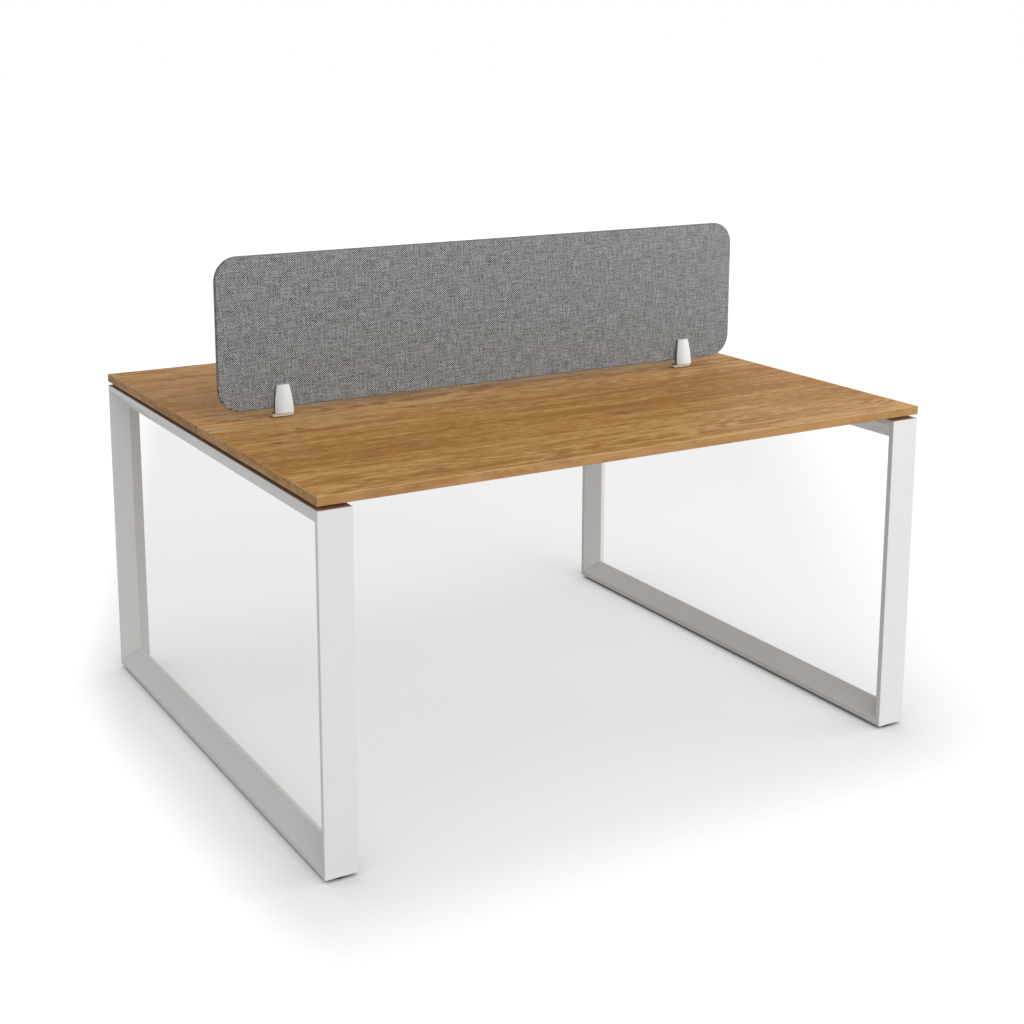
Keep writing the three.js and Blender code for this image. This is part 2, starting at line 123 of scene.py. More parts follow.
class DeskSizes(bpy.types.PropertyGroup):
    """Sizes of the modelled pieces and of the finishes' patterns."""

    screen_corner: length_setting("Screen corner", "Corner radius of the screen", 50)
    screen_edge: length_setting("Screen edge", "Radius of the fabric over the screen's edge", 3)
    cloth: length_setting("Cloth thickness", "Thickness of the screen fabric", 1)
    cover_slot: length_setting("Cover slot", "Width of the slot between the fabric's turned-in edges", 4)
    yarn: length_setting("Yarn spacing", "Spacing of the screen fabric's yarns", 2.3)
    bolt_radius: length_setting("Bolt head", "Radius of the bracket bolts' heads", 6.5)
    bolt_height: length_setting("Bolt head height", "Height of the bracket bolts' heads", 3.2)
    screw_radius: length_setting("Screw head", "Radius of the top screws' heads", 5.5)
    screw_height: length_setting("Screw head height", "Height of the top screws' heads", 2.8)
    peel: length_setting("Coat texture", "Grain of the powder coat's orange peel", 1.4)


# Shader helpers

def add_node(tree, kind, inputs=None, stops=None, **settings):
    """Add one shader node with its settings, its ramp stops, and its input values or links."""
    node = tree.nodes.new(kind)
    for name, value in settings.items():
        setattr(node, name, value)
    for i, (position, colour) in enumerate(stops or []):
        elements = node.color_ramp.elements
        element = elements[i] if i < len(elements) else elements.new(position)
        element.position = position
        element.color = opaque(colour)
    for socket, value in (inputs or {}).items():
        if isinstance(value, bpy.types.NodeSocket):
            tree.links.new(value, node.inputs[socket])
        else:
            node.inputs[socket].default_value = value
    return node


def new_material(name):
    """An empty material and its node tree."""
    material = bpy.data.materials.new(name)
    material.use_nodes = True
    material.node_tree.nodes.clear()
    return material, material.node_tree


def finish_material(tree, shader):
    """Lead the shader to the material's output."""
    add_node(tree, "ShaderNodeOutputMaterial", {"Surface": shader.outputs[0]})


def paint(obj, material):
    """Give every material slot of an object this material."""
    if not obj.material_slots:
        obj.data.materials.append(material)
    for slot in obj.material_slots:
        slot.material = material


def dress(names, material):
    for name in names:
        paint(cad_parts[name], material)


# Materials

# Layers of the oak print: length along the grain and width across it in millimetres, detail and weight.
# Real pores are finer than a pixel, so the flecks that stand for them are drawn 9 mm wide.
OAK_LAYERS = {
    "bands": (1500, 120, 1.0, 0.28),
    "stripes": (800, 45, 2.0, 0.3),
    "streaks": (300, 18, 3.0, 0.44),
    "dashes": (55, 12, 2.0, 0.36),
    "flecks": (18, 9, 1.0, 0.42),
}
GRAIN_MIDDLE = sum(weight for *_, weight in OAK_LAYERS.values()) / 2

# Heart of the oak print: spacing in millimetres and weight, then rings and weight of the flame figure beside it
HEART_SPACING = 600
HEART_WEIGHT = 0.05
FLAME_RINGS = 90.0
FLAME_WEIGHT = 0.1

# Span in metres of the drift that bends the grain
GRAIN_SWING = 0.035

# Weights of the screen cloth's tones: single crossings, the step from warp to weft, and slubs that run up the warp
# and along the weft (width and height in yarns, weight)
WEAVE_NOISE = 0.9
WEAVE_CHECK = 0.55
WEAVE_SLUBS = ((1.5, 14.0, 0.44), (14.0, 1.5, 0.44))

# Knots: middle and radius in millimetres, on the front board; the rear board carries the same print turned round
KNOTS = (
    (115, -338, 15),
    (330, -210, 11),
    (-610, -215, 10),
    (-530, -125, 9),
    (-240, -65, 8),
    (-430, -540, 8),
)

# Distances along the grain count this much, so knots are drawn out along it
KNOT_STRETCH = 0.6


def grain_scale(along, across):
    """Mapping scale of a pattern with these sizes in millimetres along and across the grain."""
    return (1 / (along * MM), 1 / (across * MM), 1 / (across * MM))


def oak_print(name, finishes, turn=0.0, arris=0.0, haze=0.0):
    """Oak-print melamine and its matching edge band, printed and pressed: a darker heart along the middle of each
    board, long soft streaks, flame figure towards the edges, short flecks and a few small knots under a dull skin.
    The grain runs along X, or along Y with a quarter turn. Arris puts a painted highlight on the band's upper rounded
    edge and painted shade on its lower one, and haze veils the print as the band's thicker lacquer does."""
    material, tree = new_material(name)
    coordinates = add_node(tree, "ShaderNodeTexCoord")
    turned = add_node(
        tree, "ShaderNodeMapping", {"Vector": coordinates.outputs["Object"], "Rotation": (0, 0, turn)}
    ).outputs[0]

    # Slow drift that bends the grain by about a centimetre
    drift_place = add_node(tree, "ShaderNodeMapping", {"Vector": turned, "Scale": grain_scale(520, 150)})
    drift = add_node(tree, "ShaderNodeTexNoise", {"Vector": drift_place.outputs[0], "Scale": 1.0, "Detail": 1.0})
    swing = add_node(
        tree, "ShaderNodeVectorMath", {0: drift.outputs["Color"], 1: (0.5, 0.5, 0.5)}, operation="SUBTRACT"
    )
    bent = add_node(
        tree,
        "ShaderNodeVectorMath",
        {0: swing.outputs[0], 1: (0.0, GRAIN_SWING, 0.0), 2: turned},
        operation="MULTIPLY_ADD",
    ).outputs[0]

    # The heart is darkest along the middle of each board and palest at its edges
    axes = add_node(tree, "ShaderNodeSeparateXYZ", {"Vector": bent})
    angle = add_node(
        tree, "ShaderNodeMath", {0: axes.outputs["Y"], 1: 2 * math.pi / (HEART_SPACING * MM)}, operation="MULTIPLY"
    )
    heart = add_node(tree, "ShaderNodeMath", {0: angle.outputs[0]}, operation="COSINE").outputs[0]

    # Flame figure towards the edges: the growth rings are the level lines of a slow swell
    swell_place = add_node(tree, "ShaderNodeMapping", {"Vector": bent, "Scale": grain_scale(520, 130)})
    swell = add_node(tree, "ShaderNodeTexNoise", {"Vector": swell_place.outputs[0], "Scale": 1.0, "Detail": 1.5})
    rings = add_node(tree, "ShaderNodeMath", {0: swell.outputs["Fac"], 1: FLAME_RINGS}, operation="MULTIPLY")
    wave = add_node(tree, "ShaderNodeMath", {0: rings.outputs[0]}, operation="SINE")
    pale = add_node(tree, "ShaderNodeMath", {0: heart, 1: 0.0}, operation="MAXIMUM")
    flame = add_node(tree, "ShaderNodeMath", {0: wave.outputs[0], 1: pale.outputs[0]}, operation="MULTIPLY")

    grain = 0.5 - GRAIN_MIDDLE
    for figure, weight in ((heart, HEART_WEIGHT), (flame.outputs[0], FLAME_WEIGHT)):
        grain = add_node(
            tree, "ShaderNodeMath", {0: figure, 1: weight, 2: grain}, operation="MULTIPLY_ADD"
        ).outputs[0]
    layers = {}
    for layer, (along, across, detail, weight) in OAK_LAYERS.items():
        laid = add_node(tree, "ShaderNodeMapping", {"Vector": bent, "Scale": grain_scale(along, across)})
        layers[layer] = add_node(
            tree, "ShaderNodeTexNoise", {"Vector": laid.outputs[0], "Scale": 1.0, "Detail": detail}
        ).outputs["Fac"]
        grain = add_node(
            tree, "ShaderNodeMath", {0: layers[layer], 1: weight, 2: grain}, operation="MULTIPLY_ADD"
        ).outputs[0]
    tones = [
        [c + haze * (veil - c) for c, veil in zip(tone, finishes.oak_haze)]
        for tone in (finishes.oak_dark, finishes.oak_mid, finishes.oak_light)
    ]
    tone = add_node(tree, "ShaderNodeValToRGB", {"Fac": grain}, stops=list(zip((0.35, 0.5, 0.67), tones)))

    # Thin broken dark lines, drawn 8 mm wide so that they show
    line_place = add_node(tree, "ShaderNodeMapping", {"Vector": bent, "Scale": grain_scale(260, 8)})
    lines = add_node(tree, "ShaderNodeTexNoise", {"Vector": line_place.outputs[0], "Scale": 1.0, "Detail": 2.0})
    line_mask = add_node(
        tree,
        "ShaderNodeMapRange",
        {"Value": lines.outputs["Fac"], "From Min": 0.6, "From Max": 0.75, "To Min": 0.0, "To Max": 0.35},
    )
    lined = add_node(
        tree,
        "ShaderNodeMix",
        {"Factor": line_mask.outputs[0], 6: tone.outputs["Color"], 7: opaque(finishes.oak_pore)},
        data_type="RGBA",
    )

    # Knots the size of a finger tip, drawn out along the grain
    flat = add_node(
        tree, "ShaderNodeVectorMath", {0: turned, 1: (KNOT_STRETCH / MM, 1 / MM, 0)}, operation="MULTIPLY"
    ).outputs[0]
    nearest = 10.0  # in knot radii, far off to begin with
    for x, y, radius in KNOTS + tuple((-x, -y, radius) for x, y, radius in KNOTS):
        away = add_node(tree, "ShaderNodeVectorMath", {0: flat, 1: (KNOT_STRETCH * x, y, 0)}, operation="DISTANCE")
        share = add_node(tree, "ShaderNodeMath", {0: away.outputs["Value"], 1: 1 / radius}, operation="MULTIPLY")
        nearest = add_node(
            tree, "ShaderNodeMath", {0: nearest, 1: share.outputs[0]}, operation="MINIMUM"
        ).outputs[0]
    knot_mask = add_node(
        tree,
        "ShaderNodeMapRange",
        {"Value": nearest, "From Min": 0.2, "From Max": 1.0, "To Min": 0.75, "To Max": 0.0},
    )
    knotted = add_node(
        tree,
        "ShaderNodeMix",
        {"Factor": knot_mask.outputs[0], 6: lined.outputs[2], 7: opaque(finishes.oak_pore)},
        data_type="RGBA",
    )

    # The band's rounded edges get a painted highlight where they face up and painted shade where they face down
    upward = add_node(tree, "ShaderNodeSeparateXYZ", {"Vector": coordinates.outputs["Normal"]}).outputs["Z"]
    edged = knotted.outputs[2]
    for turned_to, tint, weight in ((1, finishes.oak_edge_highlight, arris), (-1, finishes.oak_pore, 0.8 * arris)):
        edge_light_and_shade = add_node(
            tree,
            "ShaderNodeMapRange",
            {
                "Value": upward,
                "From Min": 0.2 * turned_to,
                "From Max": 0.6 * turned_to,
                "To Min": 0.0,
                "To Max": weight,
            },
        )
        edged = add_node(
            tree, "ShaderNodeMix", {"Factor": edge_light_and_shade.outputs[0], 6: edged, 7: opaque(tint)}, data_type="RGBA"
        ).outputs[2]

    gloss = add_node(
        tree,
        "ShaderNodeMapRange",
        {"Value": layers["streaks"], "From Min": 0.3, "From Max": 0.7, "To Min": 0.6, "To Max": 0.5},
    )
    emboss = add_node(tree, "ShaderNodeBump", {"Height": layers["flecks"], "Strength": 0.2, "Distance": 0.1 * MM})
    shader = add_node(
        tree,
        "ShaderNodeBsdfPrincipled",
        {
            "Base Color": edged,
            "Roughness": gloss.outputs[0],
            "Normal": emboss.outputs[0],
            "IOR": 1.5,
            "Specular IOR Level": 0.14,
        },
    )
    finish_material(tree, shader)
    return material


def powder_coat(name, colour, peel, roughness, upper=None):
    """Polyester powder coat, sprayed and baked on steel: an even tone with a fine orange peel that softens gloss.
    Faces that look straight up take the upper colour where one is given, as painted shade and a painted reflection of
    the tops above them."""
    material, tree = new_material(name)
    coordinates = add_node(tree, "ShaderNodeTexCoord")
    place = coordinates.outputs["Object"]
    grain = add_node(tree, "ShaderNodeTexNoise", {"Vector": place, "Scale": 1 / peel, "Detail": 2.0})
    cloud = add_node(tree, "ShaderNodeTexNoise", {"Vector": place, "Scale": 6.0, "Detail": 2.0})
    tone = add_node(
        tree,
        "ShaderNodeValToRGB",
        {"Fac": cloud.outputs["Fac"]},
        stops=[(0.3, [c * 0.975 for c in colour]), (0.7, colour)],
    ).outputs["Color"]
    shine = 0.3
    # Painted shade: faces that look straight up, hidden under the tops, take the upper colour
    if upper:
        facing = add_node(tree, "ShaderNodeSeparateXYZ", {"Vector": coordinates.outputs["Normal"]})
        above = add_node(
            tree, "ShaderNodeMapRange", {"Value": facing.outputs["Z"], "From Min": 0.9, "From Max": 0.95}
        )
        tone = add_node(
            tree, "ShaderNodeMix", {"Factor": above.outputs[0], 6: tone, 7: opaque(upper)}, data_type="RGBA"
        ).outputs[2]
        shine = add_node(
            tree, "ShaderNodeMapRange", {"Value": above.outputs[0], "To Min": 0.3, "To Max": 0.0}
        ).outputs[0]
    gloss = add_node(
        tree,
        "ShaderNodeMapRange",
        {"Value": grain.outputs["Fac"], "To Min": roughness - 0.06, "To Max": roughness + 0.06},
    )
    bump = add_node(tree, "ShaderNodeBump", {"Height": grain.outputs["Fac"], "Strength": 0.15, "Distance": 0.05 * MM})
    shader = add_node(
        tree,
        "ShaderNodeBsdfPrincipled",
        {
            "Base Color": tone,
            "Roughness": gloss.outputs[0],
            "Normal": bump.outputs[0],
            "IOR": 1.5,
            "Specular IOR Level": shine,
        },
    )
    finish_material(tree, shader)
    return material


def plated_steel(name, colour):
    """Zinc-plated steel, barrel plated: bright grey metal with a faintly blotched passivated skin."""
    material, tree = new_material(name)
    place = add_node(tree, "ShaderNodeTexCoord").outputs["Object"]
    blotch = add_node(tree, "ShaderNodeTexNoise", {"Vector": place, "Scale": 1 / (4 * MM), "Detail": 3.0})
    tone = add_node(
        tree,
        "ShaderNodeValToRGB",
        {"Fac": blotch.outputs["Fac"]},
        stops=[(0.3, [c * 0.85 for c in colour]), (0.7, colour)],
    )
    gloss = add_node(tree, "ShaderNodeMapRange", {"Value": blotch.outputs["Fac"], "To Min": 0.28, "To Max": 0.46})
    shader = add_node(
        tree,
        "ShaderNodeBsdfPrincipled",
        {"Base Color": tone.outputs["Color"], "Roughness": gloss.outputs[0], "Metallic": 1.0},
    )
    finish_material(tree, shader)
    return material


def moulded_plastic(name, colour):
    """Polyamide, injection moulded with a spark-eroded texture: dull black with a fine even grain."""
    material, tree = new_material(name)
    place = add_node(tree, "ShaderNodeTexCoord").outputs["Object"]
    grain = add_node(tree, "ShaderNodeTexNoise", {"Vector": place, "Scale": 1 / (0.6 * MM), "Detail": 2.0})
    tone = add_node(
        tree,
        "ShaderNodeValToRGB",
        {"Fac": grain.outputs["Fac"]},
        stops=[(0.3, [c * 0.8 for c in colour]), (0.7, [c * 1.2 for c in colour])],
    )
    bump = add_node(tree, "ShaderNodeBump", {"Height": grain.outputs["Fac"], "Strength": 0.3, "Distance": 0.05 * MM})
    shader = add_node(
        tree,
        "ShaderNodeBsdfPrincipled",
        {"Base Color": tone.outputs["Color"], "Roughness": 0.6, "Normal": bump.outputs[0], "IOR": 1.5},
    )
    finish_material(tree, shader)
    return material


def bare_fibreboard(name, colour):
    """Medium-density fibreboard, pressed from wood fibre: flat tan with a fine felted mottle."""
    material, tree = new_material(name)
    place = add_node(tree, "ShaderNodeTexCoord").outputs["Object"]
    fibre = add_node(tree, "ShaderNodeTexNoise", {"Vector": place, "Scale": 1 / (2 * MM), "Detail": 4.0})
    tone = add_node(
        tree,
        "ShaderNodeValToRGB",
        {"Fac": fibre.outputs["Fac"]},
        stops=[(0.3, [c * 0.8 for c in colour]), (0.7, colour)],
    )
    shader = add_node(
        tree, "ShaderNodeBsdfPrincipled", {"Base Color": tone.outputs["Color"], "Roughness": 0.9, "IOR": 1.45}
    )
    finish_material(tree, shader)
    return material


def satin_aluminium(name, face, edge):
    """Cast aluminium: the bowed face is bead blasted and lacquered to a pale satin, with painted shade that darkens it
    towards its left side, and the sides are linished to a mirror that takes up the cloth and the wood beside them, its
    darker colour partly painted shade."""
    material, tree = new_material(name)
    coordinates = add_node(tree, "ShaderNodeTexCoord")
    facing = add_node(tree, "ShaderNodeSeparateXYZ", {"Vector": coordinates.outputs["Normal"]})
    sideways = add_node(tree, "ShaderNodeMath", {0: facing.outputs["X"]}, operation="ABSOLUTE")
    side = add_node(
        tree, "ShaderNodeMapRange", {"Value": sideways.outputs[0], "From Min": 0.7, "From Max": 0.9}
    ).outputs[0]
    grit = add_node(
        tree,
        "ShaderNodeTexNoise",
        {"Vector": coordinates.outputs["Object"], "Scale": 1 / (0.8 * MM), "Detail": 2.0},
    )
    blasted = add_node(
        tree,
        "ShaderNodeValToRGB",
        {"Fac": grit.outputs["Fac"]},
        stops=[(0.3, [c * 0.95 for c in face]), (0.7, face)],
    )
    # Painted shade: the face darkens as its normal turns to the left, away from the light
    flank_shade = add_node(
        tree,
        "ShaderNodeMapRange",
        {"Value": facing.outputs["X"], "From Min": -0.27, "From Max": 0.1, "To Min": 0.68, "To Max": 1.0},
    )
    turned = add_node(
        tree, "ShaderNodeVectorMath", {0: blasted.outputs["Color"], "Scale": flank_shade.outputs[0]}, operation="SCALE"
    )
    # Sides take the darker side colour: a real mirror, partly darkened as painted shade
    tone = add_node(
        tree, "ShaderNodeMix", {"Factor": side, 6: turned.outputs[0], 7: opaque(edge)}, data_type="RGBA"
    )
    metal = add_node(tree, "ShaderNodeMapRange", {"Value": side, "To Min": 0.35, "To Max": 1.0})
    gloss = add_node(tree, "ShaderNodeMapRange", {"Value": grit.outputs["Fac"], "To Min": 0.26, "To Max": 0.4})
    bump = add_node(tree, "ShaderNodeBump", {"Height": grit.outputs["Fac"], "Strength": 0.1, "Distance": 0.03 * MM})
    shader = add_node(
        tree,
        "ShaderNodeBsdfPrincipled",
        {
            "Base Color": tone.outputs[2],
            "Roughness": gloss.outputs[0],
            "Normal": bump.outputs[0],
            "Metallic": metal.outputs[0],
        },
    )
    finish_material(tree, shader)
    return material


def brushed_aluminium(name, colour, low, high):
    """Extruded aluminium, brushed and clear anodised: a soft grey, warmed by a painted reflection of the oak, with
    fine lines along it. The undercut below the height low and the step above the height high are darkened as painted
    shade."""
    material, tree = new_material(name)
    place = add_node(tree, "ShaderNodeTexCoord").outputs["Object"]
    laid = add_node(
        tree, "ShaderNodeMapping", {"Vector": place, "Scale": (1 / (12 * MM), 1 / (0.6 * MM), 1 / (0.6 * MM))}
    )
    lines = add_node(tree, "ShaderNodeTexNoise", {"Vector": laid.outputs[0], "Scale": 1.0, "Detail": 2.0})
    tone = add_node(
        tree,
        "ShaderNodeValToRGB",
        {"Fac": lines.outputs["Fac"]},
        stops=[(0.3, [c * 0.9 for c in colour]), (0.7, colour)],
    )
    # Painted shade in the undercut at the bottom and on the step under the jaw
    height = add_node(tree, "ShaderNodeSeparateXYZ", {"Vector": place}).outputs["Z"]
    above = add_node(tree, "ShaderNodeMath", {0: height, 1: low}, operation="GREATER_THAN")
    below = add_node(tree, "ShaderNodeMath", {0: height, 1: high}, operation="LESS_THAN")
    brushed = add_node(tree, "ShaderNodeMath", {0: above.outputs[0], 1: below.outputs[0]}, operation="MULTIPLY")
    share = add_node(tree, "ShaderNodeMapRange", {"Value": brushed.outputs[0], "To Min": 0.2, "To Max": 1.0})
    shade = add_node(
        tree, "ShaderNodeVectorMath", {0: tone.outputs["Color"], "Scale": share.outputs[0]}, operation="SCALE"
    )
    gloss = add_node(tree, "ShaderNodeMapRange", {"Value": lines.outputs["Fac"], "To Min": 0.3, "To Max": 0.45})
    shader = add_node(
        tree,
        "ShaderNodeBsdfPrincipled",
        {"Base Color": shade.outputs[0], "Roughness": gloss.outputs[0], "Metallic": 0.15},
    )
    finish_material(tree, shader)
    return material


def melange_weave(name, finishes, pitch, shade):
    """Woven wool-blend screen cloth, a plain weave of mottled yarns: salt-and-pepper grey with slubs that run up
    and across. Real yarns lie about 1 mm apart and are drawn coarser so that they show."""
    material, tree = new_material(name)
    axes = add_node(
        tree, "ShaderNodeSeparateXYZ", {"Vector": add_node(tree, "ShaderNodeTexCoord").outputs["Object"]}
    )

    # Both yarn directions take in the depth, so the weave carries on over the panel's edges
    yarns = []
    for axis in ("X", "Z"):
        across = add_node(tree, "ShaderNodeMath", {0: axes.outputs[axis], 1: axes.outputs["Y"]})
        yarns.append(add_node(tree, "ShaderNodeMath", {0: across.outputs[0], 1: 1 / pitch}, operation="MULTIPLY"))
    warp, weft = (yarn.outputs[0] for yarn in yarns)
    crossing = add_node(tree, "ShaderNodeCombineXYZ", {"X": warp, "Y": weft, "Z": 0.5}).outputs[0]

    # Warp and weft take turns on top in a soft chequer, and every crossing has a tone of its own
    waves = []
    for yarn in (warp, weft):
        turn = add_node(tree, "ShaderNodeMath", {0: yarn, 1: math.pi}, operation="MULTIPLY")
        waves.append(add_node(tree, "ShaderNodeMath", {0: turn.outputs[0]}, operation="SINE").outputs[0])
    over = add_node(tree, "ShaderNodeMath", {0: waves[0], 1: waves[1]}, operation="MULTIPLY").outputs[0]
    fibre = add_node(
        tree, "ShaderNodeTexNoise", {"Vector": crossing, "Scale": 1.0, "Detail": 0.0}, noise_dimensions="2D"
    )
    base = 0.49 - (WEAVE_NOISE + sum(weight for *_, weight in WEAVE_SLUBS)) / 2
    blended = add_node(
        tree, "ShaderNodeMath", {0: fibre.outputs["Fac"], 1: WEAVE_NOISE, 2: base}, operation="MULTIPLY_ADD"
    ).outputs[0]
    blended = add_node(
        tree, "ShaderNodeMath", {0: over, 1: WEAVE_CHECK, 2: blended}, operation="MULTIPLY_ADD"
    ).outputs[0]

    for width, height, weight in WEAVE_SLUBS:
        laid = add_node(tree, "ShaderNodeMapping", {"Vector": crossing, "Scale": (1 / width, 1 / height, 1)})
        slub = add_node(
            tree,
            "ShaderNodeTexNoise",
            {"Vector": laid.outputs[0], "Scale": 1.0, "Detail": 2.0},
            noise_dimensions="2D",
        )
        blended = add_node(
            tree, "ShaderNodeMath", {0: slub.outputs["Fac"], 1: weight, 2: blended}, operation="MULTIPLY_ADD"
        ).outputs[0]
    tones = (finishes.yarn_dark, finishes.yarn_mid, finishes.yarn_light)
    colour = add_node(
        tree,
        "ShaderNodeValToRGB",
        {"Fac": blended},
        stops=[(place, [c * shade for c in tone]) for place, tone in zip((0.15, 0.5, 0.85), tones)],
    )

    # Each crossing swells into a small crown
    crown = add_node(tree, "ShaderNodeMath", {0: over}, operation="ABSOLUTE")
    bump = add_node(tree, "ShaderNodeBump", {"Height": crown.outputs[0], "Strength": 0.4, "Distance": 0.3 * MM})
    shader = add_node(
        tree,
        "ShaderNodeBsdfPrincipled",
        {
            "Base Color": colour.outputs["Color"],
            "Roughness": 0.92,
            "Normal": bump.outputs[0],
            "Specular IOR Level": 0.15,
            "Sheen Weight": 0.1,
            "Sheen Roughness": 0.5,
        },
    )
    finish_material(tree, shader)
    return material


# Modelling helpers

def start_piece(name):
    """Name the primitive just added, and put its place and size into its mesh."""
    piece = bpy.context.active_object
    piece.name = name
    piece.data.name = name
    bpy.ops.object.transform_apply(location=True, rotation=True, scale=True)
    return piece


def select_edges(piece, wanted):
    """In edit mode, select only the edges for which wanted(first corner, second corner) is true."""
    mesh = bmesh.from_edit_mesh(piece.data)
    bpy.ops.mesh.select_all(action="DESELECT")
    bpy.ops.mesh.select_mode(type="EDGE")
    for edge in mesh.edges:
        edge.select_set(wanted(edge.verts[0].co, edge.verts[1].co))
    bmesh.update_edit_mesh(piece.data)


def select_faces(piece, wanted):
    """In edit mode, select only the faces for which wanted(middle, normal) is true."""
    mesh = bmesh.from_edit_mesh(piece.data)
    bpy.ops.mesh.select_all(action="DESELECT")
    bpy.ops.mesh.select_mode(type="FACE")
    for face in mesh.faces:
        face.select_set(wanted(face.calc_center_median(), face.normal))
    bmesh.update_edit_mesh(piece.data)


def ride_on_desk(piece):
    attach(piece, "desk")


# Operators

class DeskTops(bpy.types.Operator):
    """Oak-print melamine on both tops and matching band on their edges"""

    bl_idname = "bench_desk.tops"
    bl_label = "Dress the tops"

    def execute(self, context):
        finishes = context.scene.desk_finishes
        dress([f"{side}_top_board" for side in SIDES], oak_print("oak_print_melamine", finishes))
        front = oak_print("oak_edge_band_front", finishes, arris=0.5, haze=0.5)
        dress([f"{side}_top_band_user" for side in SIDES], front)
        dress([f"{side}_top_band_seam" for side in SIDES], oak_print("oak_edge_band_seam", finishes))
        across = oak_print("oak_edge_band_short", finishes, turn=math.pi / 2, arris=0.1, haze=0.2)
        dress([f"{side}_top_band_{end}" for side in SIDES for end in ENDS], across)
        return {"FINISHED"}


class DeskFrames(bpy.types.Operator):
    """Pale powder coat on the mitred hoops"""

    bl_idname = "bench_desk.frames"
    bl_label = "Dress the frames"

    def execute(self, context):
        finishes = context.scene.desk_finishes
        peel = context.scene.desk_sizes.peel
        coat = powder_coat("white_powder_coat", finishes.coat, peel, roughness=0.42)
        dress([f"{end}_frame_{tube}" for end in ENDS for tube in ("bottom_rail", "front_leg", "rear_leg")], coat)
        # The top rails' upper face takes painted shade and a painted reflection of the tops above it
        under_top_painted_shade = powder_coat(
            "white_powder_coat_top_rail_painted_shade", finishes.coat, peel, roughness=0.42, upper=finishes.coat_upper_painted_shade
        )
        dress([f"{end}_frame_top_rail" for end in ENDS], under_top_painted_shade)
        return {"FINISHED"}


class DeskFeet(bpy.types.Operator):
    """Plastic pads, plated studs and weld nuts of the levelling feet"""

    bl_idname = "bench_desk.feet"
    bl_label = "Dress the feet"

    def execute(self, context):
        finishes = context.scene.desk_finishes
        corners = [f"{side}_{end}" for side in SIDES for end in ENDS]
        dress([f"foot_pad_{corner}" for corner in corners], moulded_plastic("black_foot_plastic", finishes.pad))
        steel = plated_steel("zinc_plated_stud", finishes.zinc)
        dress([f"foot_{part}_{corner}" for part in ("stud", "nut") for corner in corners], steel)
        return {"FINISHED"}


class DeskBeams(bpy.types.Operator):
    """Dark powder coat on the beams and brackets, plastic on the spacers"""

    bl_idname = "bench_desk.beams"
    bl_label = "Dress the beams and spacers"

    def execute(self, context):
        finishes = context.scene.desk_finishes
        coat = powder_coat("black_powder_coat", finishes.beam_coat, context.scene.desk_sizes.peel, roughness=0.5)
        dress([f"{side}_beam" for side in SIDES], coat)
        dress([f"{side}_beam_bracket_{end}" for side in SIDES for end in ENDS], coat)
        plastic = moulded_plastic("black_spacer_plastic", finishes.pad)
        dress([f"{end}_rail_spacer_{i}" for end in ENDS for i in range(1, 5)], plastic)
        dress([f"{side}_beam_spacer_{end}" for side in SIDES for end in ENDS], plastic)
        return {"FINISHED"}


